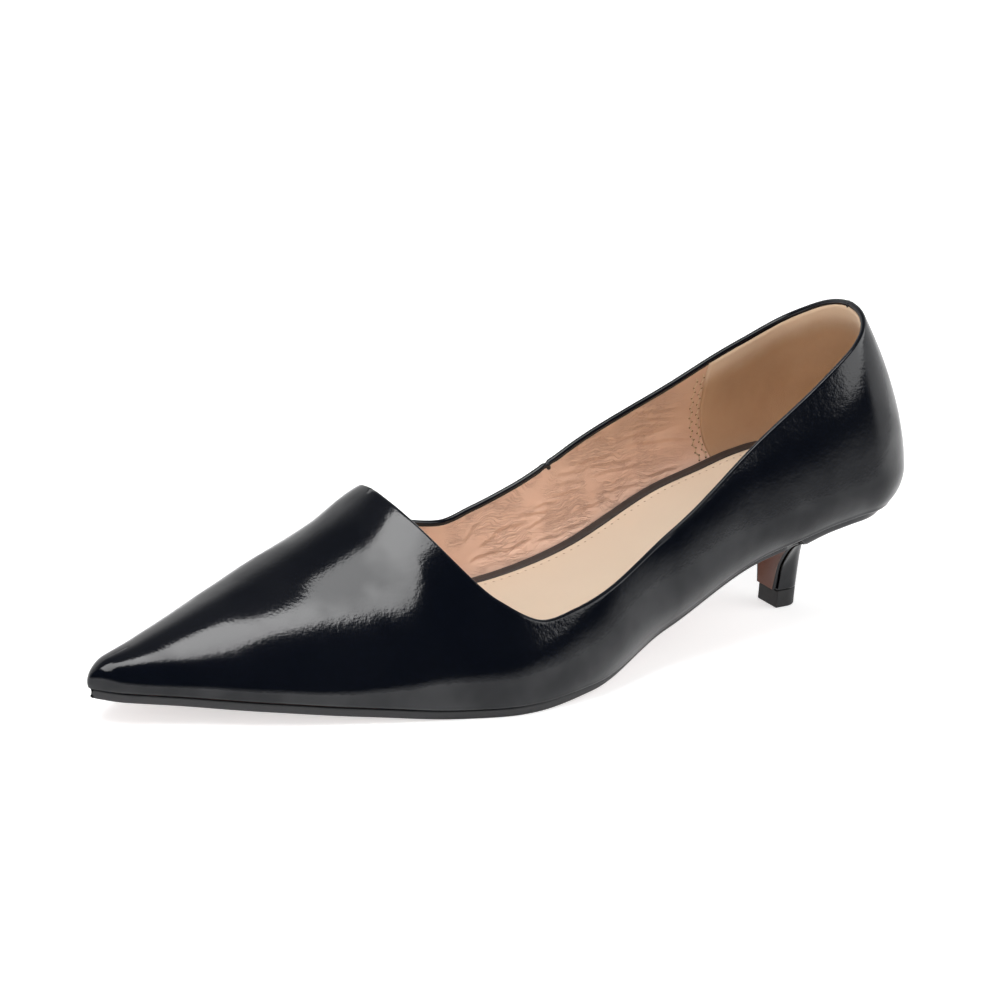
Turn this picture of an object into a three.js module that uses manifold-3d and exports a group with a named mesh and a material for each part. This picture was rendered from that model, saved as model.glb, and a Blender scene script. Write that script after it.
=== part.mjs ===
// Pointed toe pump for the left foot, in millimetres.
// +Z is up, the toe points to -Y, +X is the outer (lateral) side.
// The origin is on the top lift's flat face on the floor, midway across.
import * as THREE from 'three';
import { mergeVertices } from 'three/addons/utils/BufferGeometryUtils.js';
import Module from 'manifold-3d';

// Driving sizes
const length = 262;            // back of the heel to the tip of the toe, along the floor
const ballWidth = 78;          // across the ball, where the upper meets the sole
const instepHeight = 52.3;     // top of the vamp above the floor, at the point of the throat
const heelRise = 33.2;         // seat above the tread, both where the upper meets the sole
const toeSpring = 7.8;         // the toe above the tread
const collarHeight = 93.5;      // back of the collar above the floor
const heelSetBack = 30.5;      // back of the shoe behind the origin
const wall = 1.8;              // vamp or quarter with its lining
const gap = 0.3;               // between pieces that meet
const soleThickness = 2.6;     // forepart
const waistThickness = 1.6;
const waistFrom = 105;         // the sole is thin behind this, and full from the next
const waistTo = 146;
const soleSetIn = 1;           // sole edge inside the upper's edge
const flapThickness = 1.2;     // the sole's end on the front of the heel
const flapSetIn = 0.6;         // the flap's side edge inside the heel's
const flapFillet = 3.5;        // from the waist down on to the heel's front
const boardThickness = 2.6;
const boardToeGap = 18;        // the insole ends this far behind the tip
const rimWidth = 5;            // of the insole, seen round the sock
const rimSlope = 1.4;          // the rim rises by this much towards the upper
const rimEdge = 0.6;           // rounding of the rim's top edge
const rimLean = 0.07;          // the insole's side leans in by this share of its height
const vampLean = 0.55;         // and by this share under the vamp
const vampFrom = 140;
const vampTo = 200;
const sockThickness = 2.1;     // let into the board, level with the rim
const sockEdge = 0.5;          // rounding of the sock's top edge
const liftWidth = 9.2;
const liftFront = 5;           // flat front of the top lift before the origin
const liftBack = 4;
const liftHeight = 5.5;
const liftStraight = -1;       // where the lift's straight sides end, behind the origin
const seatLength = 46;         // back of the seat to the heel's front corners
const seatSetIn = 0.5;
const heelHollow = 2.2;        // dip across the heel's front, half way up
const heelRound = 24;          // length of the round end at the heel
const toeRound = 7;            // length of the round end at the toe
const noseOverhang = 2.2;      // the toe's nose in front of its own edge at the sole
const noseHeight = 8;
const counterSwell = 3.4;      // the back curves out by this much over the heel
const counterHeight = 57;
const collarLean = 15;         // the back leans in by this much at the collar
const leanReach = 70;          // the lean dies away this far in front of the back
const tuckHeight = 11;         // above the sole the upper comes in to it over this height
const backTuck = 3;            // the tuck at the back of the heel
const tread = gap + soleThickness;

// Plan of the last where the upper meets the sole: half width and offset, as shares of the ball width
const plan = [
  { along: 0, half: 0.314, centre: 0 },
  { along: 0.115, half: 0.353, centre: -0.008 },
  { along: 0.23, half: 0.346, centre: -0.010 },
  { along: 0.36, half: 0.365, centre: 0.014 },
  { along: 0.48, half: 0.468, centre: 0.030 },
  { along: 0.57, half: 0.5, centre: 0.026 },
  { along: 0.65, half: 0.462, centre: -0.003 },
  { along: 0.76, half: 0.382, centre: -0.038 },
  { along: 0.84, half: 0.289, centre: -0.047 },
  { along: 0.915, half: 0.172, centre: -0.051 },
  { along: 0.97, half: 0.092, centre: -0.045 },
  { along: 1, half: 0.038, centre: -0.038 },
];

// How far the sides are tucked in to that line, as shares of the ball width
const tuck = [
  { along: 0, side: 0.045 },
  { along: 0.23, side: 0.045 },
  { along: 0.36, side: 0.03 },
  { along: 0.5, side: 0.012 },
  { along: 0.75, side: 0.008 },
  { along: 1, side: 0.004 },
];

// Height of that line over the tread, as shares of the heel rise and of the toe spring
const bottom = [
  { along: 0, heel: 0.975, toe: 0 },
  { along: 0.08, heel: 1, toe: 0 },
  { along: 0.13, heel: 0.95, toe: 0 },
  { along: 0.18, heel: 0.85, toe: 0 },
  { along: 0.23, heel: 0.75, toe: 0 },
  { along: 0.36, heel: 0.33, toe: 0 },
  { along: 0.48, heel: 0.045, toe: 0 },
  { along: 0.56, heel: 0, toe: 0 },
  { along: 0.63, heel: 0, toe: 0 },
  { along: 0.725, heel: 0, toe: 0.23 },
  { along: 0.82, heel: 0, toe: 0.515 },
  { along: 0.915, heel: 0, toe: 0.75 },
  { along: 1, heel: 0, toe: 1 },
];

// Top of the last: height as a share of the instep height; offset and side swell as shares of the
// ball width; fullness is how far the section keeps its width near the top
const crest = [
  { along: 0, height: 2.12, offset: 0, swell: 0.004, fullness: 0.4 },
  { along: 0.23, height: 1.87, offset: -0.065, swell: 0.022, fullness: 0.46 },
  { along: 0.36, height: 1.58, offset: -0.105, swell: 0.060, fullness: 0.5 },
  { along: 0.48, height: 1.34, offset: -0.135, swell: 0.068, fullness: 0.5 },
  { along: 0.57, height: 1.155, offset: -0.152, swell: 0.06, fullness: 0.47 },
  { along: 0.656, height: 1, offset: -0.125, swell: 0.078, fullness: 0.42 },
  { along: 0.705, height: 0.828, offset: -0.121, swell: 0.05, fullness: 0.46 },
  { along: 0.763, height: 0.69, offset: -0.11, swell: 0.024, fullness: 0.52 },
  { along: 0.84, height: 0.568, offset: -0.056, swell: 0.024, fullness: 0.51 },
  { along: 0.916, height: 0.436, offset: -0.022, swell: 0.028, fullness: 0.53 },
  { along: 1, height: 0.322, offset: 0.014, swell: 0.011, fullness: 0.59 },
];
const throatPoint = 0.656;     // share of the length at which the throat closes
const throatSlope = 1.5;       // of the cut beyond that point
const edgeBlend = 30;          // width over which the outer edge height passes into the inner

// Topline: height of the edge as shares of the collar height, outer and inner side
const topline = [
  { along: 0.052, outer: 1.016, inner: 1.016 },
  { along: 0.062, outer: 0.989, inner: 0.978 },
  { along: 0.075, outer: 0.96, inner: 0.938 },
  { along: 0.092, outer: 0.929, inner: 0.901 },
  { along: 0.125, outer: 0.868, inner: 0.847 },
  { along: 0.17, outer: 0.786, inner: 0.784 },
  { along: 0.23, outer: 0.684, inner: 0.692 },
  { along: 0.344, outer: 0.479, inner: 0.544 },
  { along: 0.42, outer: 0.373, inner: 0.408 },
  { along: 0.466, outer: 0.325, inner: 0.343 },
  { along: 0.504, outer: 0.296, inner: 0.306 },
  { along: 0.542, outer: 0.278, inner: 0.322 },
  { along: 0.592, outer: 0.341, inner: 0.411 },
];

// Heel: how far each part of the section has moved from the top lift's outline to the seat's
const flare = [
  { height: 0, width: 0, front: 0, back: 0 },
  { height: 0.3, width: 0.05, front: 0.01, back: 0.01 },
  { height: 0.5, width: 0.17, front: 0.05, back: 0.02 },
  { height: 0.65, width: 0.34, front: 0.16, back: 0.08 },
  { height: 0.8, width: 0.64, front: 0.42, back: 0.38 },
  { height: 0.88, width: 0.87, front: 0.65, back: 0.75 },
  { height: 0.94, width: 0.98, front: 0.86, back: 0.97 },
  { height: 1, width: 1, front: 1, back: 1 },
];

const clamp = (v, low, high) => Math.min(high, Math.max(low, v));
const mix = (a, b, t) => a + (b - a) * t;
const spread = (n) => Array.from({ length: n + 1 }, (_, i) => i / n);
const smooth = (t) => t * t * (3 - 2 * t);

// Curve through one column of a table that never overshoots its rows
function curve(rows, from, column) {
  const x = rows.map((row) => row[from]);
  const y = rows.map((row) => row[column]);
  const step = x.slice(1).map((v, i) => v - x[i]);
  const rise = step.map((h, i) => (y[i + 1] - y[i]) / h);
  const slope = x.map((_, i) => {
    if (i === 0) return rise[0];
    if (i === rise.length) return rise[i - 1];
    if (rise[i - 1] * rise[i] <= 0) return 0;
    const before = 2 * step[i] + step[i - 1];
    const after = step[i] + 2 * step[i - 1];
    return (before + after) / (before / rise[i - 1] + after / rise[i]);
  });
  return (at) => {
    const v = clamp(at, x[0], x[x.length - 1]);
    let i = 0;
    while (i < step.length - 1 && v > x[i + 1]) i += 1;
    const t = (v - x[i]) / step[i];
    const back = 1 - t;
    return back * back * (1 + 2 * t) * y[i] + t * back * back * step[i] * slope[i]
      + t * t * (3 - 2 * t) * y[i + 1] - t * t * back * step[i] * slope[i + 1];
  };
}

// Sizes along the shoe, each at a distance from the back of the heel
const column = (rows, name) => {
  const read = curve(rows, 'along', name);
  return (at) => read(at / length);
};
const planHalf = column(plan, 'half');
const planCentre = column(plan, 'centre');
const tuckSide = column(tuck, 'side');
const bottomHeel = column(bottom, 'heel');
const bottomToe = column(bottom, 'toe');
const crestHeight = column(crest, 'height');
const crestOffset = column(crest, 'offset');
const crestSwell = column(crest, 'swell');
const crestFullness = column(crest, 'fullness');
const halfAt = (at) => ballWidth * planHalf(at);
const centreAt = (at) => ballWidth * planCentre(at);
const edgeHeight = (at) => tread + heelRise * bottomHeel(at) + toeSpring * bottomToe(at);
const toY = (at) => heelSetBack - at;

// Round end: grows from 0 to 1 like a quarter circle over the given length
const roundEnd = (distance, reach) => Math.sqrt(1 - (1 - clamp(distance / reach, 0, 1)) ** 2);
const roundEnds = (at, inset) => roundEnd(at - inset, heelRound - inset)
  * roundEnd(length - inset - at, toeRound);

// The tuck: 1 at the sole line, 0 from its height up. At the back it moves each point forward as well.
const tuckAt = (up) => (1 - clamp(up / tuckHeight, 0, 1)) ** 2;
const forward = (at) => backTuck * clamp(1 - at / heelRound, 0, 1);

// Point on the last: at along the shoe, up from 0 at the sole to 1 at the crest, side 1 outer, -1 inner
function lastPoint(at, up, side, inset) {
  const ends = roundEnds(at, inset);
  const nose = roundEnd(length - inset - at, toeRound);
  const seat = at + forward(at);
  const tucked = ballWidth * tuckSide(at);
  const half = halfAt(seat) + tucked - inset;
  const swollen = half + ballWidth * crestSwell(at);
  const low = edgeHeight(seat);
  const high = low + (instepHeight * crestHeight(at) - low) * nose;
  const b0 = (1 - up) ** 3;
  const b1 = 3 * (1 - up) ** 2 * up;
  const b23 = 1 - b0 - b1;
  const b2 = 3 * (1 - up) * up * up;
  const z = b0 * low + b1 * mix(low, high, 1 / 3) + b23 * (high - inset * nose);
  const under = tuckAt(z - low);
  const across = b0 * half + b1 * swollen + b2 * swollen * crestFullness(at) - tucked * under;
  const x = centreAt(seat) + ends * (side * across + ballWidth * crestOffset(at) * b23);
  const over = clamp((z - low) / counterHeight, 0, 2);
  const nearBack = clamp(1 - at / leanReach, 0, 1) ** 2;
  const swell = counterSwell * Math.sin(Math.PI * Math.min(over, 1) ** 0.48);
  const nearTip = clamp(1 - (length - at) / (2 * toeRound), 0, 1);
  const overNose = Math.sin(Math.PI / 2 * clamp((z - low) / noseHeight, 0, 1));
  const y = toY(at) - forward(at) * under + nearBack * (swell - collarLean * over * over)
    - nearTip * noseOverhang * overNose;
  return [x, y, z];
}

// Stations along the shoe, close together in the round ends
function stations(first, last, middle) {
  const heel = spread(9).map((t) => first + heelRound * (1 - Math.cos(t * Math.PI / 2)));
  const toe = spread(4).map((t) => last - toeRound * (1 - Math.cos(t * Math.PI / 2))).reverse();
  const body = spread(middle).slice(1, -1).map((t) => mix(first + heelRound, last - toeRound, t));
  return [...heel, ...body, ...toe];
}

// Closed surface through rings of equal count; each end ring is folded to a line or a point
function surface(rings) {
  const count = rings[0].length;
  const index = [];
  for (let i = 0; i < rings.length - 1; i += 1) {
    for (let j = 0; j < count; j += 1) {
      const a = i * count + j;
      const b = i * count + ((j + 1) % count);
      index.push(a, b, b + count, a, b + count, a + count);
    }
  }
  const raw = new THREE.BufferGeometry();
  raw.setAttribute('position', new THREE.Float32BufferAttribute(rings.flat(2), 3));
  raw.setIndex(index);
  const merged = mergeVertices(raw, 1e-3);
  const at = merged.getAttribute('position');
  const corner = [0, 1, 2].map(() => new THREE.Vector3());
  const kept = [];
  let volume = 0;
  for (let i = 0; i < merged.index.count; i += 3) {
    const t = [0, 1, 2].map((k) => merged.index.getX(i + k));
    if (new Set(t).size === 3) {
      kept.push(t);
      t.forEach((v, k) => corner[k].fromBufferAttribute(at, v));
      volume += corner[0].dot(corner[1].clone().cross(corner[2]));
    }
  }
  merged.setIndex((volume < 0 ? kept.map(([a, b, c]) => [a, c, b]) : kept).flat());
  return merged;
}

const wasm = await Module();
wasm.setup();

function toSolid(geometry) {
  const vertProperties = new Float32Array(geometry.getAttribute('position').array);
  return new wasm.Manifold(new wasm.Mesh({
    numProp: 3, vertProperties, triVerts: new Uint32Array(geometry.index.array),
  }));
}

function fromSolid(solid) {
  const mesh = solid.getMesh();
  const raw = new THREE.BufferGeometry();
  raw.setAttribute('position', new THREE.Float32BufferAttribute(mesh.vertProperties, 3));
  raw.setIndex([...mesh.triVerts]);
  return mergeVertices(raw, 1e-4);
}

const shoe = new THREE.Group();
shoe.name = 'pointed_toe_pump';

function add(name, geometry, color, roughness, metalness = 0) {
  const material = new THREE.MeshStandardMaterial({ color, roughness, metalness });
  const flat = geometry.toNonIndexed();
  flat.computeVertexNormals();
  const mesh = new THREE.Mesh(flat, material);
  mesh.name = name;
  shoe.add(mesh);
}

// Upper: vamp and quarters with their lining. The outer last less the inner last, which runs out
// through the open underside, less everything above the topline.
function lastSolid(inset, drop, rows, middle) {
  const ups = spread(rows).map((t) => 1 - Math.cos(t * Math.PI / 2));
  const rings = stations(inset, length - inset, middle).map((at) => {
    const outer = ups.map((up) => lastPoint(at, up, 1, inset));
    const inner = ups.slice(0, -1).reverse().map((up) => lastPoint(at, up, -1, inset));
    const foot = [outer[0], inner[inner.length - 1]].map(([x, y, z]) => [x, y, z - drop]);
    return drop > 0 ? [foot[0], ...outer, ...inner, foot[1]] : [...outer, ...inner];
  });
  return toSolid(surface(rings));
}

const throatAt = throatPoint * length;
const cutRows = [
  ...topline.map((row) => ({
    along: row.along, outer: row.outer * collarHeight, inner: row.inner * collarHeight,
  })),
  { along: throatPoint, outer: instepHeight * crestHeight(throatAt), inner: instepHeight * crestHeight(throatAt) },
];
const cutOuter = column(cutRows, 'outer');
const cutInner = column(cutRows, 'inner');

function cutHeight(at, x) {
  const middle = centreAt(at) + ballWidth * crestOffset(at);
  const side = smooth(clamp(0.5 + (x - middle) / edgeBlend, 0, 1));
  const past = Math.max(at - throatAt, 0);
  return mix(cutInner(at), cutOuter(at), side) + past * throatSlope;
}

function aboveTopline() {
  const reach = ballWidth;
  const ceiling = collarHeight * 2;
  const ats = [-heelRound, ...spread(52).map((t) => mix(0, throatAt, t)), throatAt + heelRound];
  const rings = ats.map((at) => {
    const low = spread(26).map((t) => {
      const x = mix(-reach, reach, t);
      return [x, toY(at), cutHeight(Math.max(at, 0), x)];
    });
    return [...low, [reach, toY(at), ceiling], [-reach, toY(at), ceiling]];
  });
  const closed = (ring) => ring.map(([, y]) => [0, y, ceiling * 0.8]);
  return toSolid(surface([closed(rings[0]), ...rings, closed(rings[rings.length - 1])]));
}

const upper = lastSolid(0, 0, 13, 44)
  .subtract(lastSolid(wall, wall, 11, 40))
  .subtract(aboveTopline());
add('upper', fromSolid(upper), '#0c0f16', 0.12);

// Plate that follows the underside of the last. Its section is a list of points, each so far in from
// the plate's edge and so far above the edge line, given for one side from the bottom up. Each point
// runs all round the plate at its own distance from the edge.
function plate(setIn, toeGap, section) {
  const lines = section.map(([inwards, up]) => {
    const first = setIn + inwards;
    const last = length - toeGap - inwards;
    const under = tuckAt(up);
    return stations(first, last, 44).map((at) => {
      const seat = at + forward(at);
      const ends = roundEnd(at - first, heelRound - first) * roundEnd(last - at, toeRound);
      const lean = mix(rimLean, vampLean, smooth(clamp((at - vampFrom) / (vampTo - vampFrom), 0, 1)));
      const across = halfAt(seat) + ballWidth * tuckSide(at) * (1 - under) - first - lean * up;
      return { seat, across: across * ends, y: toY(at) - forward(at) * under, z: edgeHeight(seat) + up };
    });
  });
  const point = ({ seat, across, y, z }, side) => [centreAt(seat) + side * across, y, z];
  const rings = lines[0].map((_, i) => {
    const ring = lines.map((line) => line[i]);
    return [...ring.map((p) => point(p, 1)), ...ring.map((p) => point(p, -1)).reverse()];
  });
  return surface(rings);
}

// Insole: board wrapped in dark leather, level with the upper's lower edge. Its rim stands round the
// sock and rises towards the upper.
const rimInner = boardThickness + gap + sockThickness;
add('insole', plate(wall + gap, boardToeGap, [
  [0, 0], [0, rimInner + rimSlope - rimEdge], [rimEdge, rimInner + rimSlope],
  [rimWidth, rimInner], [rimWidth, boardThickness],
]), '#463a36', 0.6);

// Sock: padded footbed let into the insole
const sockLow = boardThickness + gap;
add('sock', plate(wall + gap + rimWidth + gap, boardToeGap + rimWidth + gap, [
  [0, sockLow], [0, sockLow + sockThickness - sockEdge], [sockEdge, sockLow + sockThickness],
]), '#e6cfb5', 0.75);

// Heel: sections from the top lift's outline to the seat's, with a dip across the front
const flareWidth = curve(flare, 'height', 'width');
const flareFront = curve(flare, 'height', 'front');
const flareBack = curve(flare, 'height', 'back');
const heelFoot = liftHeight + gap;
const seatFrontY = toY(seatLength);
const frontSteps = 6;
const sideSteps = 14;

// Half outline of the lift, from its front corner round to its back, t from 0 to 1
function liftOutline(t) {
  const straight = 0.4;
  if (t < straight) return [liftWidth / 2, mix(-liftFront, liftStraight, t / straight)];
  const turn = (t - straight) / (1 - straight) * Math.PI / 2;
  return [liftWidth / 2 * Math.cos(turn), liftStraight + (liftBack - liftStraight) * Math.sin(turn)];
}

// Half outline of the seat, matched to the lift's
function seatOutline(t) {
  const first = backTuck + seatSetIn;
  const at = first + (seatLength - first) * (1 - Math.sin(t * Math.PI / 2));
  const half = (halfAt(at) - seatSetIn) * roundEnd(at - first, heelRound - first);
  return [half, at];
}

function heelPoint(t, side, height) {
  const [liftX, liftY] = liftOutline(t);
  const [seatX, at] = seatOutline(t);
  const top = edgeHeight(at) - gap;
  const along = mix(flareFront(height), flareBack(height), t);
  const across = mix(flareWidth(height), flareBack(height), t);
  const x = mix(0, centreAt(at), along) + side * mix(liftX, seatX, across);
  return [x, mix(liftY, toY(at), along), mix(heelFoot, top, height)];
}

const frontDip = (share, height) => heelHollow * Math.sin(Math.PI * height) * (1 - share * share);

function heelRing(height) {
  const ts = spread(sideSteps);
  const outer = ts.map((t) => heelPoint(t, 1, height));
  const inner = ts.slice(0, -1).reverse().map((t) => heelPoint(t, -1, height));
  const front = spread(frontSteps).slice(1, -1).map((s) => {
    const share = mix(-1, 1, s);
    const right = outer[0];
    const left = inner[inner.length - 1];
    return [mix(left[0], right[0], s), right[1] + frontDip(share, height), right[2]];
  });
  return [...outer, ...inner, ...front];
}

// Ring folded on to its own middle line; its front part closes on one point
function folded(ring, middle, hub, level) {
  return ring.map(([, y, z]) => (y < hub ? [middle(hub), hub, level(hub)] : [middle(y), y, z]));
}

const heelLevels = spread(16).map((t) => 1 - (1 - t) ** 1.3);
const heelRings = heelLevels.map(heelRing);
const seatHub = seatFrontY + 3;
const footHub = -liftFront + 1.5;
add('heel', surface([
  folded(heelRings[0], () => 0, footHub, () => heelFoot),
  ...heelRings,
  folded(heelRings[heelRings.length - 1], (y) => centreAt(heelSetBack - y), seatHub,
    (y) => edgeHeight(heelSetBack - y) - gap),
]), '#0c0f16', 0.14);

// Top lift: rubber top piece with a flat front
const liftRing = (z) => {
  const ts = spread(sideSteps);
  const outer = ts.map((t) => [...liftOutline(t), z]);
  const inner = ts.slice(0, -1).reverse().map((t) => [-liftOutline(t)[0], liftOutline(t)[1], z]);
  return [...outer, ...inner];
};
const liftFold = (z) => liftRing(z).map(([, y]) => [0, y, z]);
add('top_lift', surface([liftFold(0), liftRing(0), liftRing(liftHeight), liftFold(liftHeight)]),
  '#1a1a1c', 0.7);

// Outsole: from the toe over the waist, then turned down the front of the heel. Each station has an
// attached point against the shoe and a visible point below or before it.
function soleThicknessAt(at) {
  return mix(waistThickness, soleThickness, smooth(clamp((at - waistFrom) / (waistTo - waistFrom), 0, 1)));
}

const soleTip = length - soleSetIn;
const flapTopAt = seatLength + gap;
const waistEnd = flapTopAt + flapThickness + flapFillet;

function soleStation(at) {
  const half = (halfAt(at) - soleSetIn) * roundEnd(soleTip - at, toeRound);
  const top = edgeHeight(at) - gap;
  return {
    centre: centreAt(at),
    dip: 0,
    half,
    attached: [toY(at), top],
    visible: [toY(at), top - soleThicknessAt(at)],
  };
}

function flapStation(height) {
  const corner = heelPoint(0, 1, height);
  const half = corner[0] - centreAt(seatLength) * flareFront(height) - flapSetIn;
  return {
    centre: centreAt(seatLength) * flareFront(height),
    dip: heelHollow * Math.sin(Math.PI * height),
    half,
    attached: [corner[1] - gap, corner[2]],
    visible: [corner[1] - gap - flapThickness, corner[2]],
  };
}

// The turn: the attached side goes into the corner under the seat, the visible side round a fillet
function turnStations() {
  const start = soleStation(waistEnd);
  const seatFront = edgeHeight(seatLength) - gap;
  const endHeight = 1 - (waistThickness + flapFillet) / (seatFront - heelFoot);
  const end = flapStation(endHeight);
  const corner = flapStation(1);
  const before = spread(3).slice(1).map((t) => ({
    ...start, attached: [0, 1].map((k) => mix(start.attached[k], corner.attached[k], t)), share: t / 2,
  }));
  const after = spread(3).slice(1, -1).map((t) => ({
    ...flapStation(mix(1, endHeight, t)), share: (1 + t) / 2,
  }));
  const turned = [...before, ...after].map(({ share, ...station }) => {
    const bend = share * Math.PI / 2;
    return {
      ...station,
      centre: mix(start.centre, end.centre, share),
      half: mix(start.half, end.half, share),
      visible: [
        mix(start.visible[0], end.visible[0], Math.sin(bend)),
        mix(start.visible[1], end.visible[1], 1 - Math.cos(bend)),
      ],
    };
  });
  return [...turned, end];
}

function soleRing({ centre, dip, half, attached, visible }) {
  const shares = [-1, -0.5, 0, 0.5, 1];
  const row = ([y, z], s) => [centre + half * s, y + dip * (1 - s * s), z];
  return [...shares.map((s) => row(attached, s)), ...shares.slice().reverse().map((s) => row(visible, s))];
}

const soleStations = stations(waistEnd - heelRound, soleTip, 52)
  .filter((at) => at > waistEnd).reverse().map(soleStation);
const turn = turnStations();
const flapTop = (turn[turn.length - 1].attached[1] - heelFoot) / (edgeHeight(seatLength) - gap - heelFoot);
const flapFoot = flapTop * 0.01;
const flapLevels = spread(8).slice(1).map((t) => mix(flapTop, flapFoot, t));
const soleList = [...soleStations, soleStation(waistEnd), ...turn, ...flapLevels.map(flapStation)];
const lastStation = soleList[soleList.length - 1];
const middleLine = [0, 1].map((k) => mix(lastStation.attached[k], lastStation.visible[k], 0.5));
soleList.push({ ...lastStation, attached: middleLine, visible: middleLine });
add('outsole', surface(soleList.map(soleRing)), '#7d5244', 0.5);

export default shoe;
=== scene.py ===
import math

import bmesh
import bpy
import numpy as np
from mathutils import Matrix, Vector


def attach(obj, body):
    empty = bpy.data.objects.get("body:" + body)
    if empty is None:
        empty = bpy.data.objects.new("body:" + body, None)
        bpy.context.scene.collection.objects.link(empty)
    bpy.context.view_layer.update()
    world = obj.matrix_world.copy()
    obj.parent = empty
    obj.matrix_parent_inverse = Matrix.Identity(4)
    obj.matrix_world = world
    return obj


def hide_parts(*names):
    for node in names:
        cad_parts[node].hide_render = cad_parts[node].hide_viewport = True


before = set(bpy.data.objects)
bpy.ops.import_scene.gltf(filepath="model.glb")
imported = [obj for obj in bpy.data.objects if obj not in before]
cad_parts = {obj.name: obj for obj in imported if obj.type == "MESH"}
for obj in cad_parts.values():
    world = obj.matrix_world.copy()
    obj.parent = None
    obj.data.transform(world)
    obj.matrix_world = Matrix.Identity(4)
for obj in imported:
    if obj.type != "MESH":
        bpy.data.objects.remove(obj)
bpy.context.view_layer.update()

# Upper: vamp and quarters of black patent leather, cut, closed with a seam on the inner side and one
# at the back, pulled over a pointed last and turned under at the sole. The top edge is folded in and
# glued down over the lining. Sizes in millimetres.
length = 262.0
ball_width = 78.0
instep_height = 52.3
heel_rise = 33.2
toe_spring = 7.8
collar_height = 93.5
heel_set_back = 30.5
tread = 2.9
heel_round = 24.0
toe_round = 7.0
nose_overhang = 2.2
nose_height = 8.0
counter_swell = 3.4
counter_height = 57.0
collar_lean = 15.0
lean_reach = 70.0
tuck_height = 11.0
back_tuck = 3.0
throat_share = 0.656
throat_slope = 1.5
edge_blend = 30.0
wall = 1.8

# share of the length; half width and offset at the sole line, shares of the ball width
plan = ((0, .314, 0), (.115, .353, -.008), (.23, .346, -.010), (.36, .365, .014), (.48, .468, .030),
        (.57, .5, .026), (.65, .462, -.003), (.76, .382, -.038), (.84, .289, -.047),
        (.915, .172, -.051), (.97, .092, -.045), (1, .038, -.038))
# share of the length; how far the sole line is tucked in, share of the ball width
tuck = ((0, .045), (.23, .045), (.36, .03), (.5, .012), (.75, .008), (1, .004))
# share of the length; rise of the sole line, shares of the heel rise and of the toe spring
bottom = ((0, .975, 0), (.08, 1, 0), (.13, .95, 0), (.18, .85, 0), (.23, .75, 0), (.36, .33, 0),
          (.48, .045, 0), (.56, 0, 0), (.63, 0, 0), (.725, 0, .23), (.82, 0, .515), (.915, 0, .75),
          (1, 0, 1))
# share of the length; top of the last: height, offset, swell of the sides, fullness
crest = ((0, 2.12, 0, .004, .4), (.23, 1.87, -.065, .022, .46), (.36, 1.58, -.105, .060, .5),
         (.48, 1.34, -.135, .068, .5), (.57, 1.155, -.152, .060, .47), (.656, 1, -.125, .078, .42),
         (.705, .828, -.121, .050, .46), (.763, .690, -.110, .024, .52), (.84, .568, -.056, .024, .51),
         (.916, .436, -.022, .028, .53), (1, .322, .014, .011, .59))
# share of the length; height of the top edge, outer and inner side, shares of the collar height
top_edge = ((.052, 1.016, 1.016), (.062, .989, .978), (.075, .96, .938), (.092, .929, .901),
            (.125, .868, .847), (.17, .786, .784), (.23, .684, .692), (.344, .479, .544),
            (.42, .373, .408), (.466, .325, .343), (.504, .296, .306), (.542, .278, .322),
            (.592, .341, .411),
            (.656, instep_height / collar_height, instep_height / collar_height))


def through(rows, column, span=length):
    """Smooth curve through one column of a table, read at a distance along its span. Each stretch
    is a cubic; its slope at a row is the weighted harmonic mean of the slopes before and after,
    and nought where these differ in sign, so that the curve never overshoots."""
    x = np.array([row[0] for row in rows]) * span
    y = np.array([row[column] for row in rows], dtype=float)
    step = np.diff(x)
    rise = np.diff(y) / step
    before, after = 2 * step[1:] + step[:-1], step[1:] + 2 * step[:-1]
    turning = rise[:-1] * rise[1:] <= 0
    safe = np.where(rise == 0, 1, rise)
    weighed = (before + after) / (before / safe[:-1] + after / safe[1:])
    slope = np.concatenate(([rise[0]], np.where(turning, 0, weighed), [rise[-1]]))

    def read(at):
        v = np.clip(at, x[0], x[-1])
        i = np.clip(np.searchsorted(x, v) - 1, 0, len(step) - 1)
        t = (v - x[i]) / step[i]
        back = 1 - t
        return (back * back * (1 + 2 * t) * y[i] + t * back * back * step[i] * slope[i]
                + t * t * (3 - 2 * t) * y[i + 1] - t * t * back * step[i] * slope[i + 1])
    return read


plan_half, plan_centre = through(plan, 1), through(plan, 2)
tuck_share = through(tuck, 1)
bottom_heel, bottom_toe = through(bottom, 1), through(bottom, 2)
crest_height, crest_offset = through(crest, 1), through(crest, 2)
crest_swell, crest_fullness = through(crest, 3), through(crest, 4)
edge_outer, edge_inner = through(top_edge, 1), through(top_edge, 2)
heel_arc, toe_arc = heel_round * math.pi / 2, toe_round * math.pi / 2
whole_walk = heel_arc + length - heel_round - toe_round + toe_arc
throat_at = throat_share * length
throat_walk = heel_arc + throat_at - heel_round


def half_at(at):
    """Half width of the last at the sole line, without the tuck."""
    return ball_width * plan_half(at)


def centre_at(at):
    """Where the last's middle lies across the shoe."""
    return ball_width * plan_centre(at)


def sole_line(at):
    """Height of the line where the upper meets the sole."""
    return tread + heel_rise * bottom_heel(at) + toe_spring * bottom_toe(at)


def ease(t):
    """Smooth step from 0 to 1: three times the square less twice the cube."""
    t = np.clip(t, 0, 1)
    return t * t * (3 - 2 * t)


def bump_at(d, width):
    """Bell curve: 1 where d is nought, falling away over the width."""
    return np.exp(-(d / width) ** 2)


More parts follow.
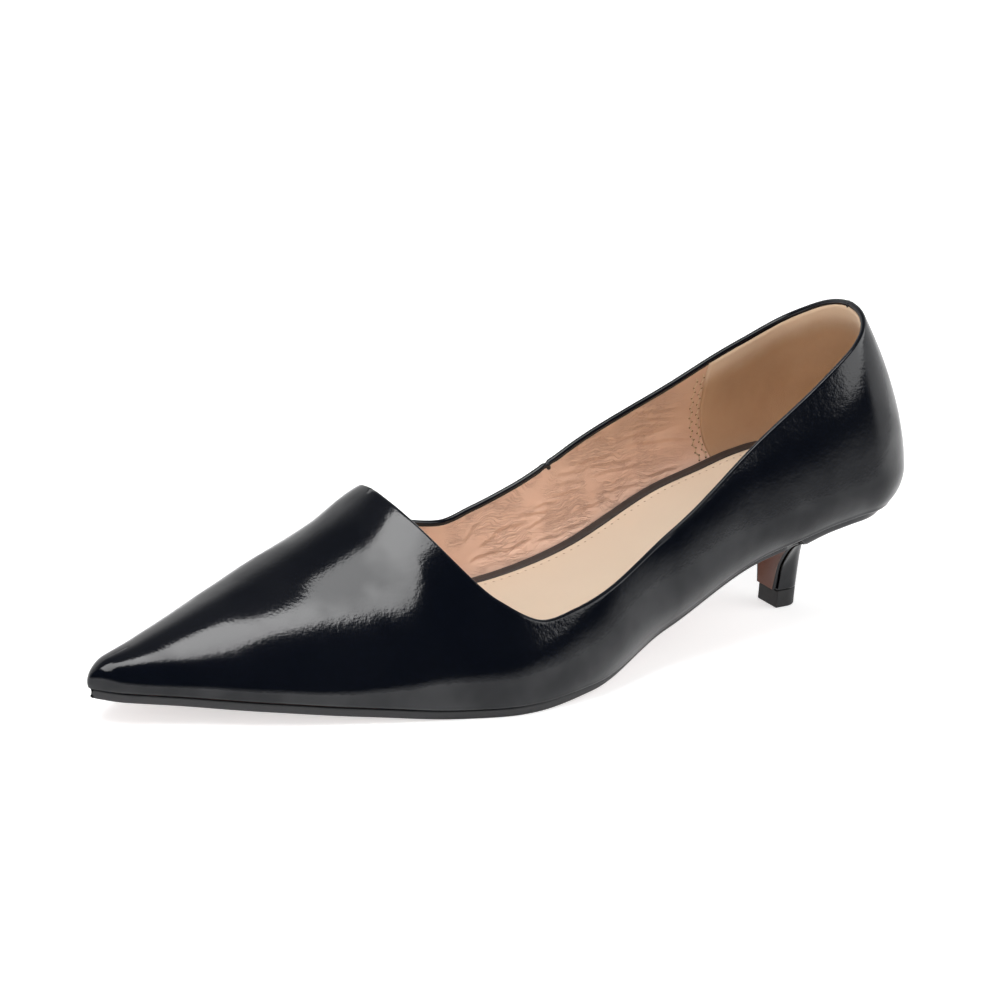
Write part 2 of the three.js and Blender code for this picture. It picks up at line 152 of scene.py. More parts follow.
def along(walk):
    """Turns a walk round the shoe from the back seam, positive on the outer side, into the distance
    from the heel's back, the signed share of the width and the share of the height. In both round
    ends the walk is a quarter circle, so the surface turns smoothly there."""
    w = np.abs(walk)
    h = np.clip(w / heel_round, 0, math.pi / 2)
    t = np.clip((whole_walk - w) / toe_round, 0, math.pi / 2)
    at = np.where(w < heel_arc, heel_round * (1 - np.cos(h)), heel_round + w - heel_arc)
    at = np.where(whole_walk - w < toe_arc, length - toe_round * (1 - np.cos(t)), at)
    return at, np.sign(walk) * np.sin(h) * np.sin(t), np.sin(t)


def forward(at):
    """How far the tuck moves a point at the back of the sole line forward."""
    return back_tuck * np.clip(1 - at / heel_round, 0, 1)


def tuck_at(up):
    """The tuck: 1 at the sole line, 0 from its height up."""
    return (1 - np.clip(up / tuck_height, 0, 1)) ** 2


def skin(walk, up):
    """Point on the last at a walk round it and a share of the way up from the sole line to the
    crest. The section is a cubic curve on four points: the sole's edge, a swollen point a third of
    the way up, a point at full height that sets how full the shoulder is, and the crest. The back
    bulges over the heel and leans in to the collar; the nose hangs a little over the toe."""
    at, ends, nose = along(walk)
    seat = at + forward(at)
    tucked = ball_width * tuck_share(at)
    half = half_at(seat) + tucked
    swollen = half + ball_width * crest_swell(at)
    low = sole_line(seat)
    high = low + (instep_height * crest_height(at) - low) * nose
    b0, b1, b2 = (1 - up) ** 3, 3 * (1 - up) ** 2 * up, 3 * (1 - up) * up ** 2
    b23 = 1 - b0 - b1
    across = b0 * half + b1 * swollen + b2 * swollen * crest_fullness(at)
    z = b0 * low + b1 * (low + (high - low) / 3) + b23 * high
    under = tuck_at(z - low)
    across = across - tucked * under
    x = centre_at(seat) + ends * across + np.abs(ends) * ball_width * crest_offset(at) * b23
    over = np.clip((z - low) / counter_height, 0, 2)
    near_back = np.clip(1 - at / lean_reach, 0, 1) ** 2
    swell = counter_swell * np.sin(math.pi * np.minimum(over, 1) ** .48)
    near_tip = np.clip(1 - (length - at) / (2 * toe_round), 0, 1)
    over_nose = np.sin(math.pi / 2 * np.clip((z - low) / nose_height, 0, 1))
    y = (heel_set_back - at - forward(at) * under + near_back * (swell - collar_lean * over * over)
         - near_tip * nose_overhang * over_nose)
    return np.stack(np.broadcast_arrays(x, y, z), -1)


def foot_line(at):
    """Height of the last's lower edge, where the tuck has moved it forward."""
    return sole_line(at + forward(at))


def share_up(walk, rise):
    """Share of the way up the last at which a point lies a given rise above its lower edge."""
    at = along(walk)[0]
    return rise / (instep_height * crest_height(at) - foot_line(at))


def unit(v):
    """Vectors divided by their lengths."""
    return v / np.maximum(np.linalg.norm(v, axis=-1, keepdims=True), 1e-9)


def outward(walk, up):
    """Unit normal of the last: across a short step up it and a short step along it."""
    w = np.clip(walk, .4 - whole_walk, whole_walk - .4)
    up_step = skin(w, np.minimum(up + .003, 1)) - skin(w, np.maximum(up - .003, 0))
    return unit(np.cross(up_step, skin(w + .05, up) - skin(w - .05, up)))


def top_cut(walk, drop):
    """Share of the way up at which the top edge, lowered by a drop, crosses the last; 1 in front of
    the throat. Found by halving the interval again and again."""
    low, high = np.zeros_like(walk), np.ones_like(walk)
    for _ in range(40):
        middle = (low + high) / 2
        x, y, z = np.moveaxis(skin(walk, middle), -1, 0)
        at = np.maximum(heel_set_back - y, 0)
        side = ease(.5 + (x - centre_at(at) - ball_width * crest_offset(at)) / edge_blend)
        cut = (edge_inner(at) * (1 - side) + edge_outer(at) * side) * collar_height
        below = z < cut + throat_slope * np.maximum(at - throat_at, 0) - drop
        low, high = np.where(below, middle, low), np.where(below, high, middle)
    return np.where(np.abs(walk) < throat_walk + drop, low, 1)


def steps(start, stop, size):
    """Even steps of about a size from start to stop, both included."""
    return np.linspace(start, stop, max(int(round(abs(stop - start) / size)), 1) + 1)


def both_sides(walks):
    """Walks on the outer side and their mirror images on the inner side, in order."""
    walks = np.unique(np.round(walks, 5))
    return np.concatenate((-walks[::-1], walks[1:] if walks[0] == 0 else walks))


def placed(name, data):
    """Object of a mesh, light or camera, put into the scene."""
    made = bpy.data.objects.new(name, data)
    bpy.context.scene.collection.objects.link(made)
    return made


def make_mesh(name, points, faces, uv=None):
    """Object from points in millimetres and index quads; doubled points are joined first. Each
    corner takes its point's UV where one is given."""
    mesh = bpy.data.meshes.new(name)
    mesh.from_pydata((points.reshape(-1, 3) * .001).tolist(), [], faces.tolist())
    if uv is not None:
        layer = mesh.uv_layers.new(name="along")
        layer.data.foreach_set("uv", uv.reshape(-1, 2)[faces.ravel()].astype(np.float32).ravel())
    work = bmesh.new()
    work.from_mesh(mesh)
    bmesh.ops.remove_doubles(work, verts=work.verts, dist=2e-6)
    bmesh.ops.dissolve_degenerate(work, edges=work.edges, dist=1e-6)
    work.to_mesh(mesh)
    work.free()
    mesh.shade_smooth()
    return placed(name, mesh)


def grid_faces(columns, rows, first=0):
    """Quads of a grid stored column by column, facing the side from which the columns run to the
    right while the rows run up."""
    i, j = np.meshgrid(np.arange(columns - 1), np.arange(rows - 1), indexing="ij")
    a = first + (i * rows + j).ravel()
    return np.stack((a, a + rows, a + rows + 1, a + 1), -1)


def flipped(faces):
    """The same faces turned to the other side."""
    return faces[:, ::-1]


seam_at = 100.0                  # inner side seam, from the heel's back
seam_walk = -(heel_arc + seam_at - heel_round)
seam_depth, seam_width, seam_zone, seam_step = .42, .42, 2.4, .3
lip_height, lip_away, lip_width = .14, 1.1, .7
edge_drop = 1.0
rim_radius = wall / 2
turned_in, turned_lean = 1.5, .12
lasting_round, turned_under = 1.1, 3.0
throat_zone = 36.0               # walk before the throat with denser columns


def throat_end(drop):
    """Walk at which the lowered top edge of both sides meets the crest, by halving."""
    low, high = throat_walk - 2, throat_walk + 2
    for _ in range(30):
        middle = (low + high) / 2
        short = top_cut(np.array([middle]), drop)[0] < 1 - 1e-6
        low, high = (middle, high) if short else (low, middle)
    return high


rim_walk = throat_end(edge_drop)
walks = both_sides(np.concatenate((
    steps(0, seam_zone, seam_step), steps(seam_zone, heel_arc, 1.4),
    steps(heel_arc, rim_walk - throat_zone, 1.4), rim_walk - throat_zone * np.linspace(1, 0, 61) ** 1.6,
    steps(rim_walk, whole_walk - toe_arc, 1.5), steps(whole_walk - toe_arc, whole_walk, .55))))
walks = np.unique(np.concatenate((walks, steps(seam_walk - seam_zone, seam_walk + seam_zone, seam_step))))


def seam_sink(walk):
    """Closed seams at the back and on the inner side: a narrow groove between two raised lips."""
    def one(d):
        return lip_height * bump_at(np.abs(d) - lip_away, lip_width) - seam_depth * bump_at(d, seam_width)
    return one(walk) + one(walk - seam_walk)


def skin_grid(walk, shares, sink, cut, start):
    """Grid on the last, columns at the walks, rows at shares of the way from a start to a cut, moved
    out by the sink; and its normals."""
    up = start[:, None] + (cut - start)[:, None] * shares[None, :]
    w = np.repeat(walk[:, None], len(shares), 1)
    normal = outward(w, up)
    return skin(w, up) + normal * sink(w)[..., None], normal


body, body_normal = skin_grid(walks, np.linspace(0, 1, 46), seam_sink, top_cut(walks, edge_drop),
                              share_up(walks, lasting_round))

# Turned under: a quarter round, then flat below the insole
at, ends, _ = along(walks)
plan_way = np.gradient(body[:, 0], axis=0) * [1, 1, 0]
side_way = unit(np.stack((-plan_way[:, 1], plan_way[:, 0], np.zeros(len(walks))), -1))
side_way *= np.sign((side_way * body_normal[:, 0]).sum(-1, keepdims=True) + 1e-9)
under_depth = np.minimum(turned_under, np.abs(ends) * half_at(at) * .4)[:, None, None]
depth = (body[:, 0, 2] - foot_line(at))[:, None, None]
turn = np.linspace(0, math.pi / 2, 6)[None, ::-1, None]
down = np.array([0, 0, -1.0])
round_under = (body[:, :1] - side_way[:, None] * depth * (1 - np.cos(turn))
               + down * depth * np.sin(turn))
flat_under = round_under[:, :1] - side_way[:, None] * under_depth
upper_points = np.concatenate((flat_under, round_under[:, :-1], body), 1)
upper_faces = flipped(grid_faces(*upper_points.shape[:2]))

# Folded top edge: half a circle over the edge, then down inside
rim_from = np.abs(walks) <= rim_walk + 1e-4
rim_base, rim_normal = body[rim_from, -1], body_normal[rim_from, -1]
ring_way = unit(np.roll(rim_base, -1, 0) - np.roll(rim_base, 1, 0))
ring_way[0] = ring_way[-1] = unit(rim_base[1] - rim_base[-2])
rim_up = unit(np.cross(rim_normal, ring_way))
rim_up *= np.sign(rim_up[len(rim_up) // 2, 2])
roll = np.linspace(0, math.pi, 13)[None, :, None]
rolled = (rim_base[:, None] + rim_up[:, None] * rim_radius * np.sin(roll)
          - rim_normal[:, None] * rim_radius * (1 - np.cos(roll)))
fall = np.linspace(0, 1, 4)[None, 1:, None] * turned_in
fallen = rolled[:, -1:] - rim_up[:, None] * fall + rim_normal[:, None] * fall * turned_lean
rim_points = np.concatenate((rolled, fallen), 1)
rim_faces = flipped(grid_faces(*rim_points.shape[:2], first=upper_points[..., 0].size))

upper_all = np.concatenate((upper_points.reshape(-1, 3), rim_points.reshape(-1, 3)))
upper_faces = np.concatenate((upper_faces, rim_faces))


def walk_uv(walk, points):
    """Walk round the shoe and height above the floor, both in millimetres."""
    w = np.repeat(walk[:, None], points.shape[1], 1)
    return np.stack((w, points[..., 2]), -1).reshape(-1, 2)


upper_uv = np.concatenate((walk_uv(walks, upper_points), walk_uv(walks[rim_from], rim_points)))
upper = make_mesh("upper_patent", upper_all, upper_faces, upper_uv)


def give_thickness(piece, thick):
    """Makes a skin solid: its thickness in millimetres goes on behind its face."""
    modifier = piece.modifiers.new("thickness", "SOLIDIFY")
    modifier.thickness, modifier.offset = thick * .001, -1


give_thickness(upper, .5)


def new_group(name, places, amounts, mask):
    """Empty node group: places and amounts go in, a normal and a mask come out. Returns it with its
    way in and out."""
    group = bpy.data.node_groups.new(name, "ShaderNodeTree")
    for label in places:
        group.interface.new_socket(label, in_out="INPUT", socket_type="NodeSocketVector")
    for label in amounts:
        group.interface.new_socket(label, in_out="INPUT", socket_type="NodeSocketFloat")
    group.interface.new_socket("Normal", in_out="OUTPUT", socket_type="NodeSocketVector")
    group.interface.new_socket(mask, in_out="OUTPUT", socket_type="NodeSocketFloat")
    return group, group.nodes.new("NodeGroupInput"), group.nodes.new("NodeGroupOutput")


def fill(made, **values):
    """Fills a node's own inputs from values or other sockets. An underscore in an input's name
    stands for a space; in_2 is the third input."""
    for key, value in values.items():
        socket = made.inputs[int(key[3:]) if key.startswith("in_") else key.replace("_", " ")]
        if isinstance(value, bpy.types.NodeSocket):
            made.id_data.links.new(value, socket)
        else:
            socket.default_value = value


def node(tree, kind, sets=(), **values):
    """Adds one node, sets its properties and fills its inputs."""
    made = tree.nodes.new(kind)
    for key, value in dict(sets).items():
        setattr(made, key, value)
    fill(made, **values)
    return made


def maths(tree, what, a, b=0.0, c=0.0, clamp=False):
    return node(tree, "ShaderNodeMath", {"operation": what, "use_clamp": clamp},
                in_0=a, in_1=b, in_2=c).outputs[0]


def times(tree, a, b, plus=0.0, clamp=False):
    """One value times another, and a third added."""
    return maths(tree, "MULTIPLY_ADD", a, b, plus, clamp)


def blend(tree, share, a, b):
    """Colour between two others, each a socket or red, green and blue."""
    a, b = [c if isinstance(c, bpy.types.NodeSocket) else (*c, 1) for c in (a, b)]
    return node(tree, "ShaderNodeMix", {"data_type": "RGBA"}, in_0=share, in_6=a, in_7=b).outputs[2]


def noise(tree, where, scale, detail=2.0, rough=.5, stretch=None):
    """Noise read in millimetres: where is a position in metres, scale the size of one blotch."""
    if stretch is not None:
        where = node(tree, "ShaderNodeMapping", Vector=where, Scale=stretch).outputs[0]
    return node(tree, "ShaderNodeTexNoise", Vector=where, Scale=1000.0 / scale, Detail=detail,
                Roughness=rough).outputs[0]


def smooth_between(tree, value, low, high):
    """Mask that goes smoothly from 0 to 1 as a value goes from low to high, or down from low."""
    return node(tree, "ShaderNodeMapRange", {"interpolation_type": "SMOOTHSTEP"}, Value=value,
                From_Min=low, From_Max=high).outputs[0]


def new_material(name):
    """Material with its Principled shader, its tree and its Object coordinates."""
    material = bpy.data.materials.new(name)
    material.use_nodes = True
    tree = material.node_tree
    shader = tree.nodes["Principled BSDF"]
    here = tree.nodes.new("ShaderNodeTexCoord").outputs["Object"]
    return material, tree, shader, here


def bumped(tree, height, distance, strength=1.0, **before):
    """Bump from a height that runs over the distance, in millimetres, on a Normal from before."""
    return node(tree, "ShaderNodeBump", Height=height, Distance=distance * .001, Strength=strength,
                **before).outputs[0]


def patent_relief():
    """Surface of coated leather: fine pebbles, a shallow orange peel and a slow waviness."""
    group, way_in, way_out = new_group("patent_relief", ["Position"], ["Pebble", "Wave"], "Blotch")
    where, pebble, wave = way_in.outputs[:3]
    slow = noise(group, where, 17, 1, .4)
    peel = noise(group, where, 1.7, 2, .5)
    fine = noise(group, where, .7, 2, .6)
    blotch = noise(group, where, 30, 3, .6)
    first = bumped(group, times(group, slow, wave), .22)
    second = bumped(group, times(group, peel, pebble), .028, Normal=first)
    third = bumped(group, times(group, fine, pebble), .02, Normal=second)
    fill(way_out, Normal=third, Blotch=blotch)
    return group


relief = patent_relief()


def patent(name, pebble, wave):
    """Black patent leather: a nearly black base under a clear coat that varies a little."""
    material, tree, shader, here = new_material(name)
    normal, blotch = node(tree, "ShaderNodeGroup", {"node_tree": relief}, Position=here, Pebble=pebble,
                          Wave=wave).outputs[:2]
    colour = blend(tree, blotch, (.0011, .0018, .0040), (.0019, .0029, .0058))
    rough = times(tree, blotch, .06, .42)
    coat = times(tree, smooth_between(tree, blotch, .35, .6), .35, plus=.65)
    fill(shader, Base_Color=colour, Roughness=rough, Normal=normal, IOR=1.5, Specular_IOR_Level=0.0,
          Coat_Weight=coat, Coat_Roughness=.10, Coat_IOR=1.5, Coat_Normal=normal)
    return material


patent_leather = patent("black_patent_leather", 1.0, 1.0)
upper.data.materials.append(patent_leather)
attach(upper, "root")
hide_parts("upper")

# Lining: thin pigskin, glued inside the upper from the insole to just under the folded edge. It is
# drawn tight over the last and keeps fine lengthwise wrinkles on the inner side.
lining_inset = 1.72
lining_drop = edge_drop + .6
lining_foot = 3.2                # its lower end, above the last's lower edge
lining_toe = 8.0                 # walk left bare round the toe
# walk and height at the start, walk and height at the end, depth, width
creases = (
    (-106, 42.5, -87, 42.4, .3, .75), (-102, 40, -81, 40.3, .34, .8), (-112, 39.6, -98, 38.8, .26, .7),
    (-94, 48, -66, 48.8, .3, .8), (-91, 50, -63, 50, .24, .7), (-86, 45.6, -60, 43.2, .3, .75),
    (-84, 52.8, -63, 51.3, .24, .7), (-88, 56, -65, 54.6, .2, .8), (-78, 32.7, -64, 36.2, .36, .7),
    (-91, 30.6, -77, 32, .26, .7), (-110, 35.7, -99, 35.7, .24, .7), (-112, 33, -100, 32.8, .26, .7),
    (-117, 29.3, -107, 30.6, .24, .7), (-122, 26.5, -111, 28, .24, .7), (-128, 22, -118, 25.3, .28, .8),
    (-137, 19.7, -132, 26.3, .28, .8), (-132, 17.7, -125, 23.5, .26, .8), (-135, 13.2, -124, 17.2, .28, .8),
    (-124, 16.5, -115, 19.7, .26, .7), (-115, 18.3, -103, 21, .28, .7), (-108, 20.7, -96, 23.8, .28, .7),
    (-118, 23, -111, 25.4, .22, .7), (-98, 37, -76, 37.6, .24, .7), (-100, 27, -88, 29, .22, .7))


def crease_sink(walk, height):
    """Pulled creases: each is a shallow trough along its own line, bending a little, that fades at
    both ends, with a soft ridge on its upper side."""
    total = np.zeros_like(walk)
    for w0, h0, w1, h1, deep, wide in creases:
        run = np.hypot(w1 - w0, h1 - h0)
        t = ((walk - w0) * (w1 - w0) + (height - h0) * (h1 - h0)) / run ** 2
        off = ((height - h0) * (w1 - w0) - (walk - w0) * (h1 - h0)) / run
        off = off + .4 * np.sin(t * 4 + w0) + .12 * np.sin(t * 15 + h0)
        fade = ease(t * 4) * ease((1 - t) * 4)
        total += deep * fade * (bump_at(off, wide) - .6 * bump_at(off - 1.6 * wide, wide))
    return total


def grid_mesh(name, points, uv=None, inside_out=False):
    """Object from a grid of points, stored column by column."""
    faces = grid_faces(*points.shape[:2])
    return make_mesh(name, points, flipped(faces) if inside_out else faces, uv)


wrinkled_walks = steps(-140, -58, .8)
lining_walks = np.unique(np.concatenate((walks[np.abs(walks) < whole_walk - lining_toe], wrinkled_walks)))
lining_body, lining_normal = skin_grid(
    lining_walks, np.linspace(0, 1, 76), lambda w: np.full_like(w, -lining_inset),
    top_cut(lining_walks, lining_drop), share_up(lining_walks, lining_foot))
w = np.repeat(lining_walks[:, None], lining_body.shape[1], 1)
lining_body = lining_body + lining_normal * crease_sink(w, lining_body[..., 2])[..., None]
lining = grid_mesh("lining", lining_body, walk_uv(lining_walks, lining_body))
give_thickness(lining, .35)


def fine_wrinkles():
    """Grain of soft lining leather: pores, and short wrinkles that run along the shoe. The furrow
    mask also goes out, for painted shade in the furrows.
    """
    group, way_in, way_out = new_group("fine_wrinkles", ["Walk", "Position"], ["Amount"], "Furrow")
    walk, where, amount = way_in.outputs[:3]
    bend = node(group, "ShaderNodeTexNoise", Vector=walk, Scale=.09, Detail=2.0)
    bent = node(group, "ShaderNodeVectorMath", {"operation": "MULTIPLY_ADD"}, in_0=bend.outputs[1],
                in_1=(9, 9, 0), in_2=walk).outputs[0]
    turned = node(group, "ShaderNodeMapping", {"vector_type": "TEXTURE"}, Vector=bent,
                  Rotation=(0, 0, math.radians(5)), Scale=(6.5, .8, 1)).outputs[0]
    long_noise = node(group, "ShaderNodeTexNoise", Vector=turned, Scale=1.0, Detail=3.0,
                      Roughness=.55).outputs[0]
    ridge = maths(group, "ABSOLUTE", maths(group, "SUBTRACT", long_noise, .5))
    furrow_and_shade = maths(group, "SUBTRACT", 1.0, times(group, ridge, 14.0, clamp=True))
    furrow_and_shade = times(group, furrow_and_shade, amount)
    pores = noise(group, where, .8, 3, .6)
    first = bumped(group, times(group, furrow_and_shade, -1.0), .22, .8)
    second = bumped(group, pores, .06, .6, Normal=first)
    fill(way_out, Normal=second, Furrow=furrow_and_shade)
    return group


wrinkles = fine_wrinkles()


def surface_place(tree):
    """The piece's own UV map, made in millimetres."""
    return node(tree, "ShaderNodeUVMap", {"uv_map": "along"}).outputs[0]


def parts_of(tree, vector):
    """The three numbers of a vector."""
    return node(tree, "ShaderNodeSeparateXYZ", Vector=vector).outputs


def tinted(tree, colour, mask, share, tint):
    """Colour turned towards a tint where the mask is, by a share of it."""
    return blend(tree, times(tree, mask, share), colour, tint)


def soft_lining():
    """Pinkish leather, tan towards the throat, with painted shade that darkens it higher up and in
    the furrows, which are deepest on the inner side."""
    material, tree, shader, here = new_material("pink_tan_lining_leather")
    place = surface_place(tree)
    walk, height = parts_of(tree, place)[:2]
    inner = smooth_between(tree, walk, -62.0, -80.0)
    pulled = smooth_between(tree, noise(tree, here, 11, 2, .5), .38, .6)
    amount = times(tree, pulled, times(tree, inner, .7, .3))
    normal, furrow_and_shade = node(tree, "ShaderNodeGroup", {"node_tree": wrinkles}, Walk=place, Position=here,
                          Amount=amount).outputs[:2]
    blotch = noise(tree, here, 14, 3, .6)
    to_throat = smooth_between(tree, parts_of(tree, here)[1], -.095, -.135)
    pink = blend(tree, blotch, (.84, .545, .405), (.90, .615, .47))
    tan = blend(tree, blotch, (.82, .49, .31), (.87, .54, .35))
    colour = blend(tree, to_throat, pink, tan)
    # Painted shade: the lining is darkened higher up, from 34 to 56 mm over the floor.
    colour = tinted(tree, colour, smooth_between(tree, height, 34.0, 56.0), .75, (.62, .375, .235))
    # Painted shade: the colour is darkened along the furrows of the wrinkles.
    colour = tinted(tree, colour, furrow_and_shade, .42, (.52, .27, .175))
    fill(shader, Base_Color=colour, Roughness=.52, Normal=normal, IOR=1.4, Sheen_Weight=.12,
          Sheen_Roughness=.5)
    return material


lining.data.materials.append(soft_lining())
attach(lining, "root")

# Heel grip: suede pad glued over the lining round the back of the heel, from the insole to the folded
# edge. Its front ends lean and bow a little forward, and it puffs up under the folded edge.
grip_thickness = .55
grip_foot = 3.4                  # its lower end, above the last's lower edge
grip_tuck = .25                  # how far it goes higher than the lining
grip_end_round, grip_top_round, thinnest_top = .7, .9, math.sqrt(.1)
back_height = 60.0               # height of the last's side there, to turn shares into millimetres
puff_height, puff_below, puff_width, puff_fade = .45, 2.6, 2.0, 6.0
grip_front_top, grip_front_foot = 60.6, 53.6     # walk to its front end, at the top and at the insole
grip_front_bow = 2.5
grip_across = np.sign(np.linspace(-1, 1, 181)) * (1 - (1 - np.abs(np.linspace(-1, 1, 181))) ** 1.05)
grip_shares = np.concatenate((np.linspace(0, .86, 44), 1 - .14 * (1 - np.linspace(0, 1, 13)[1:]) ** 1.5))


def grip_front(v):
    """Walk to the grip's front end at a share of the way up: a slanted line that bows forward."""
    return grip_front_foot + (grip_front_top - grip_front_foot) * v + grip_front_bow * np.sin(math.pi * v)


def quarter_round(t):
    """Height of a quarter circle at a share of its width, 1 from its end on."""
    return np.sqrt(1 - (1 - np.clip(t, 0, 1)) ** 2)


def grip_grid():
    """Grid on the last, with each point's walk and distance below the top: columns at shares of the
    walk to the front ends, rows from the insole to just below the folded edge. It thins to nought at
    its front ends and rounds off at its top."""
    t, v = np.meshgrid(grip_across, grip_shares, indexing="ij")
    walk = t * grip_front(v)
    low, high = share_up(walk, grip_foot), top_cut(walk, lining_drop - grip_tuck)
    up = low + (high - low) * v
    edge = (1 - np.abs(t)) * grip_front_foot
    below = (1 - v) * (high - low) * back_height
    puff = puff_height * bump_at(below - puff_below, puff_width) * ease(edge / puff_fade)
    rounded = quarter_round(edge / grip_end_round)
    rounded = rounded * np.maximum(quarter_round(below / grip_top_round), thinnest_top)
    inset = lining_inset + (grip_thickness + puff) * rounded
    return skin(walk, up) - outward(walk, up) * inset[..., None], walk, below


grip_points, grip_walk, grip_below = grip_grid()
grip = grid_mesh("heel_grip", grip_points, np.stack((grip_walk, grip_below), -1))
give_thickness(grip, .4)


def suede():
    """Brushed tan suede, paler where it puffs up and towards its foot, with a short nap."""
    material, tree, shader, here = new_material("tan_suede")
    nap = noise(tree, here, .35, 3, .7)
    brushed = noise(tree, here, 9, 3, .6, stretch=(1, 1, .6))
    low = smooth_between(tree, parts_of(tree, here)[2], .062, .044)
    below = parts_of(tree, surface_place(tree))[1]
    below = maths(tree, "ADD", below, times(tree, brushed, 4.0, -2.0))
    puffed = smooth_between(tree, below, 7.0, 1.0)
    colour = blend(tree, brushed, (.38, .215, .115), (.52, .32, .185))
    for mask, share, tint in ((puffed, .85, (.74, .56, .40)), (low, .5, (.66, .42, .27)),
                              (nap, .3, (.62, .41, .26))):
        colour = tinted(tree, colour, mask, share, tint)
    fill(shader, Base_Color=colour, Roughness=.95, Normal=bumped(tree, nap, .2, .8),
          Sheen_Weight=.5, Sheen_Roughness=.4, Sheen_Tint=(1, .86, .7, 1), Specular_IOR_Level=.15)
    return material


grip.data.materials.append(suede())
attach(grip, "root")

# Zigzag stitching: two rows of tan thread down the lining on each side, just in front of the heel
# grip's ends, and small dark discs at the holes that the needle leaves: painted shade in them.
stitch_length, stitch_swing = 1.35, .75
stitched_height = 27.0           # height of the grip at its front ends
row_start, row_stop = .035, .965
row_offset, row_gap = .9, 2.3    # walk from the grip's end to the first row, and between the rows
thread_radius, thread_lift = .2, .1
stitch_arch = .22
hole_radius, hole_edge_lift, hole_middle_lift = .33, .05, .02


def full_turn(sides):
    """Angles of evenly spaced points round a circle."""
    return np.linspace(0, 2 * math.pi, sides + 1)[:-1]


def thread_tubes(starts, ends, normals, lift, sides=6, rings=7):
    """Stitches: each is a thin tube from one hole to the next that arches over the leather and dives
    in at both ends; centre line a straight run lifted by half a sine wave."""
    t = np.linspace(0, 1, rings)[None, :, None]
    line = starts[:, None] * (1 - t) + ends[:, None] * t
    line = line + normals[:, None] * (lift * np.sin(math.pi * t) ** .6 - lift * .4)
    side = unit(np.cross(normals, ends - starts))[:, None, None]
    top = normals[:, None, None]
    turn = full_turn(sides)[None, None, :, None]
    thick = thread_radius * (.45 + .55 * np.sin(math.pi * np.linspace(0, 1, rings)) ** .5)
    thick = thick[None, :, None, None]
    points = line[:, :, None] + thick * (side * np.cos(turn) + top * np.sin(turn))
    count = len(starts)
    s, r, k = np.meshgrid(np.arange(count), np.arange(rings - 1), np.arange(sides), indexing="ij")
    here = (s * rings + r) * sides + k
    there = (s * rings + r) * sides + (k + 1) % sides
    return points, np.stack((here, here + sides, there + sides, there), -1).reshape(-1, 4)


def zigzag(side):
    """Two zigzag rows down one side: the points where the stitches start and end, and the lining's
    normals there. The holes step from side to side of a line beside the grip's front end."""
    rows = []
    for row in (0, 1):
        v = np.arange(row_start, row_stop, stitch_length / stitched_height)
        swing = stitch_swing * np.where(np.arange(len(v)) % 2 == 0, .5, -.5)
        walk = side * (grip_front(v) + row_offset + row_gap * row + swing)
        low = share_up(walk, grip_foot)
        up = low + (top_cut(walk, lining_drop) - low) * v
        normal = outward(walk, up)
        holes = skin(walk, up) - normal * (lining_inset + thread_lift)
        rows.append((holes[:-1], holes[1:], -normal[:-1]))
    return [np.concatenate(part) for part in zip(*rows)]


stitch_starts, stitch_ends, stitch_normals = [
    np.concatenate(pair) for pair in zip(zigzag(1), zigzag(-1))]
stitches = make_mesh("grip_stitching", *thread_tubes(stitch_starts, stitch_ends, stitch_normals,
                                                     stitch_arch))


def needle_hole_shade(places, normals, radius, sides=8):
    """Small dark discs, a little dished, that lie just over the lining round each hole: painted
    shade in the holes.
    """
    normal = normals[:, None]
    across = unit(np.cross(normals, np.array([0, 0, 1.0])))[:, None]
    turn = full_turn(sides)[None, :, None]
    ring = places[:, None] + radius * (across * np.cos(turn) + np.cross(normal, across) * np.sin(turn))
    points = np.concatenate((ring + normal * hole_edge_lift,
                             places[:, None] + normal * hole_middle_lift), 1)
    first = np.arange(len(places))[:, None] * (sides + 1)
    k = np.arange(sides)[None]
    faces = np.stack(np.broadcast_arrays(first + k, first + (k + 1) % sides, first + sides), -1)
    return points, faces.reshape(-1, 3)


hole_shade_discs = make_mesh("needle_hole_shade", *needle_hole_shade(stitch_starts, stitch_normals, hole_radius))


def thread():
    material, tree, shader, here = new_material("tan_thread")
    twist = noise(tree, here, .25, 2, .6)
    colour = blend(tree, twist, (.60, .41, .24), (.80, .60, .40))
    fill(shader, Base_Color=colour, Roughness=.6, Normal=bumped(tree, twist, .08, .7))
    return material


# Painted shade in the needle holes: the dark material of the discs.
def hole_shade():
    material, tree, shader, here = new_material("painted_hole_shade")
    colour = blend(tree, noise(tree, here, .3, 2, .6), (.10, .045, .022), (.17, .08, .042))
    fill(shader, Base_Color=colour, Roughness=.9, Specular_IOR_Level=.1)
    return material


stitches.data.materials.append(thread())
hole_shade_discs.data.materials.append(hole_shade())
for sewn in (stitches, hole_shade_discs):
    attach(sewn, "root")

# Insole: board wrapped in dark brown leather. Its rim stands round the sock and slopes up to the
# upper; the upper is lasted under it.
fit_gap = .3                     # left for cement between two pieces
wall_gap = wall + fit_gap
board_toe_gap = 18.0
board_thickness = 2.6
sock_thickness = 2.1
rim_width = 3.3
rim_slope = .35
rim_lean, vamp_lean, vamp_from, vamp_to = .07, .55, 140.0, 200.0


def plate_stations(first, last):
    """Distances along a plate, close together in its round ends, with the share of its width."""
    round_heel = heel_round - first
    heel = first + round_heel * (1 - np.cos(np.linspace(0, math.pi / 2, 25)))
    toe = last - toe_round * (1 - np.cos(np.linspace(math.pi / 2, 0, 15)))
    at = np.concatenate((heel, np.linspace(heel_round, last - toe_round, 152)[1:-1], toe))
    return at, quarter_round((at - first) / round_heel) * quarter_round((last - at) / toe_round)


